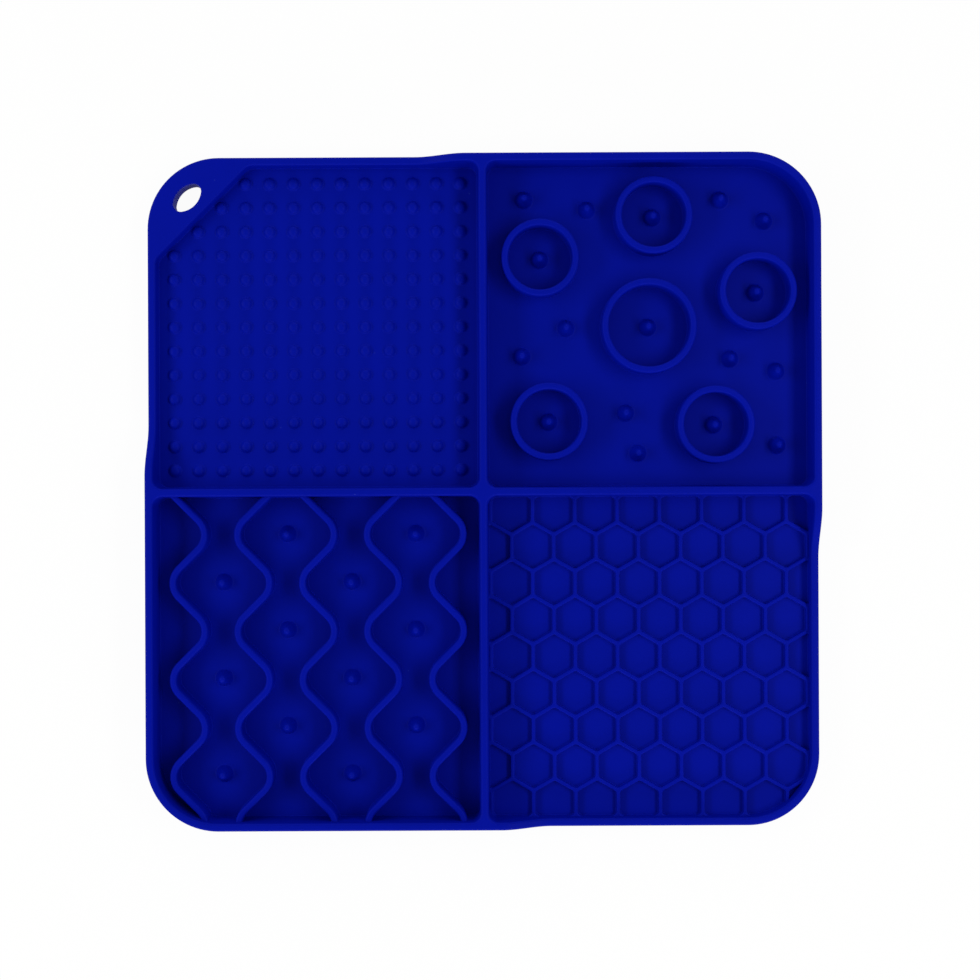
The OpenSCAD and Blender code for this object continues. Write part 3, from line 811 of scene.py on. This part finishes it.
matBody.data.materials.append(siliconeSkin)
pieces = {
    matBody: ("floor_sheet", "nub_tray_left_rim", "nub_tray_back_rim", "ring_tray_rim", "wave_tray_rim",
              "comb_tray_rim", "hanging_tab", "divider_cross"),
    nubs: ("nub_field",),
    ringPegs: ("ring_pegs",),
    loosePegs: ("loose_pegs",),
    wavePegs: ("wave_pegs",),
    rings: ("ring_middle", "ring_left", "ring_back", "ring_right", "ring_front_right", "ring_front_left"),
    waveRibs: ("wave_rib_1", "wave_rib_2", "wave_rib_3", "wave_rib_4", "wave_rib_5"),
    honeycomb: ("honeycomb",),
}
sharpAngle = 50.0       # degrees, hard edges such as the cut foot of a fillet
for piece, nodes in pieces.items():
    piece.data.shade_smooth()
    piece.data.set_sharp_from_angle(angle=math.radians(sharpAngle))
    weighted = piece.modifiers.new("flatFacesLead", "WEIGHTED_NORMAL")      # at its usual weight
    weighted.keep_sharp = True
    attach(piece, "root")
    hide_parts(*nodes)
print("pieces ride on the frame")

# Plain pale floor: white to the camera, with the mat's soft shadow kept
studio = {
    # Soft strips that face the middle of the mat, with sizes in metres and turns in degrees
    "strips": [
        {"name": "rightStrip", "azimuth": 0, "tilt": 41.4, "distance": 0.523, "width": 0.11, "length": 0.50,
         "power": 1.05},
        {"name": "leftStrip", "azimuth": 180, "tilt": 55.0, "distance": 0.58, "width": 0.14, "length": 0.55,
         "power": 1.32},
        {"name": "frontStrip", "azimuth": 270, "tilt": 76.0, "distance": 0.60, "width": 0.20, "length": 0.80,
         "power": 2.3},
        {"name": "backStrip", "azimuth": 90, "tilt": 76.0, "distance": 0.60, "width": 0.20, "length": 0.80,
         "power": 1.26},
    ],
    "ambient": 0.36,
    "floorHalf": 1.5,       # metres
    "floorDrop": 0.0001,    # metres that the floor lies under the mat
    "floorShadow": 0.05,    # how much of the floor's own shading the camera sees
}


def buildStudio():
    bm = bmesh.new()
    bmesh.ops.create_grid(bm, x_segments=1, y_segments=1, size=studio["floorHalf"])
    floor = makeMesh("studioFloor", bm)
    floor.data.transform(Matrix.Translation((0, 0, -studio["floorDrop"])))
    paper = bpy.data.materials.new("palePaperFloor")
    paper.use_nodes = True
    tree = paper.node_tree
    tree.nodes.clear()
    rays = addNode(tree, "ShaderNodeLightPath").outputs
    glossOrCamera = addNode(tree, "ShaderNodeMath", {0: rays["Is Camera Ray"], 1: rays["Is Glossy Ray"]},
                            operation="MAXIMUM")
    seen = addNode(tree, "ShaderNodeMath", {0: glossOrCamera.outputs[0], 1: rays["Is Transmission Ray"]},
                   operation="MAXIMUM")
    share = addNode(tree, "ShaderNodeMath", {0: seen.outputs[0], 1: 1 - studio["floorShadow"]},
                    operation="MULTIPLY")
    diffuse = addNode(tree, "ShaderNodeBsdfDiffuse", {"Color": srgb("#f4f4f2")})
    glow = addNode(tree, "ShaderNodeEmission", {"Color": srgb("#ffffff"), "Strength": 1.0})
    mixed = addNode(tree, "ShaderNodeMixShader", {
        0: share.outputs[0], 1: diffuse.outputs[0], 2: glow.outputs[0]})
    addNode(tree, "ShaderNodeOutputMaterial", {"Surface": mixed.outputs[0]})
    floor.data.materials.append(paper)

    for strip in studio["strips"]:
        lamp = bpy.data.lights.new(strip["name"], "AREA")
        lamp.shape = "RECTANGLE"
        lamp.size = strip["width"]
        lamp.size_y = strip["length"]
        lamp.energy = strip["power"]
        holder = bpy.data.objects.new(strip["name"], lamp)
        bpy.context.scene.collection.objects.link(holder)
        turn = Euler((0, math.radians(strip["tilt"]), math.radians(strip["azimuth"])))
        holder.rotation_euler = turn
        holder.location = turn.to_matrix() @ Vector((0, 0, strip["distance"]))
        holder.visible_camera = False

    world = bpy.data.worlds.new("studioAir")
    world.use_nodes = True
    air = world.node_tree
    air.nodes.clear()
    rays = addNode(air, "ShaderNodeLightPath").outputs
    seen = addNode(air, "ShaderNodeMath", {0: rays["Is Camera Ray"], 1: rays["Is Transmission Ray"]},
                   operation="MAXIMUM")
    dim = addNode(air, "ShaderNodeBackground", {"Color": srgb("#ffffff"), "Strength": studio["ambient"]})
    white = addNode(air, "ShaderNodeBackground", {"Color": srgb("#ffffff"), "Strength": 1.0})
    both = addNode(air, "ShaderNodeMixShader", {0: seen.outputs[0], 1: dim.outputs[0], 2: white.outputs[0]})
    addNode(air, "ShaderNodeOutputWorld", {"Surface": both.outputs[0]})
    bpy.context.scene.world = world


camera = {
    "height": 0.45,         # metres above the table
    "sensor": 36,           # mm
    "focal": 54.81,         # mm
    "shiftX": 0.0067,
    "shiftY": 0.0016,
    "roll": -0.25,          # degrees
}


def buildCamera():
    lens = bpy.data.cameras.new("topCamera")
    lens.lens = camera["focal"]
    lens.sensor_width = camera["sensor"]
    lens.sensor_fit = "AUTO"
    lens.shift_x = camera["shiftX"]
    lens.shift_y = camera["shiftY"]
    holder = bpy.data.objects.new("topCamera", lens)
    holder.location = (0, 0, camera["height"])
    holder.rotation_euler = (0, 0, math.radians(camera["roll"]))
    bpy.context.scene.collection.objects.link(holder)
    bpy.context.scene.camera = holder


buildStudio()
buildCamera()
bpy.context.scene.view_settings.view_transform = "Standard"
print("studio and camera made")
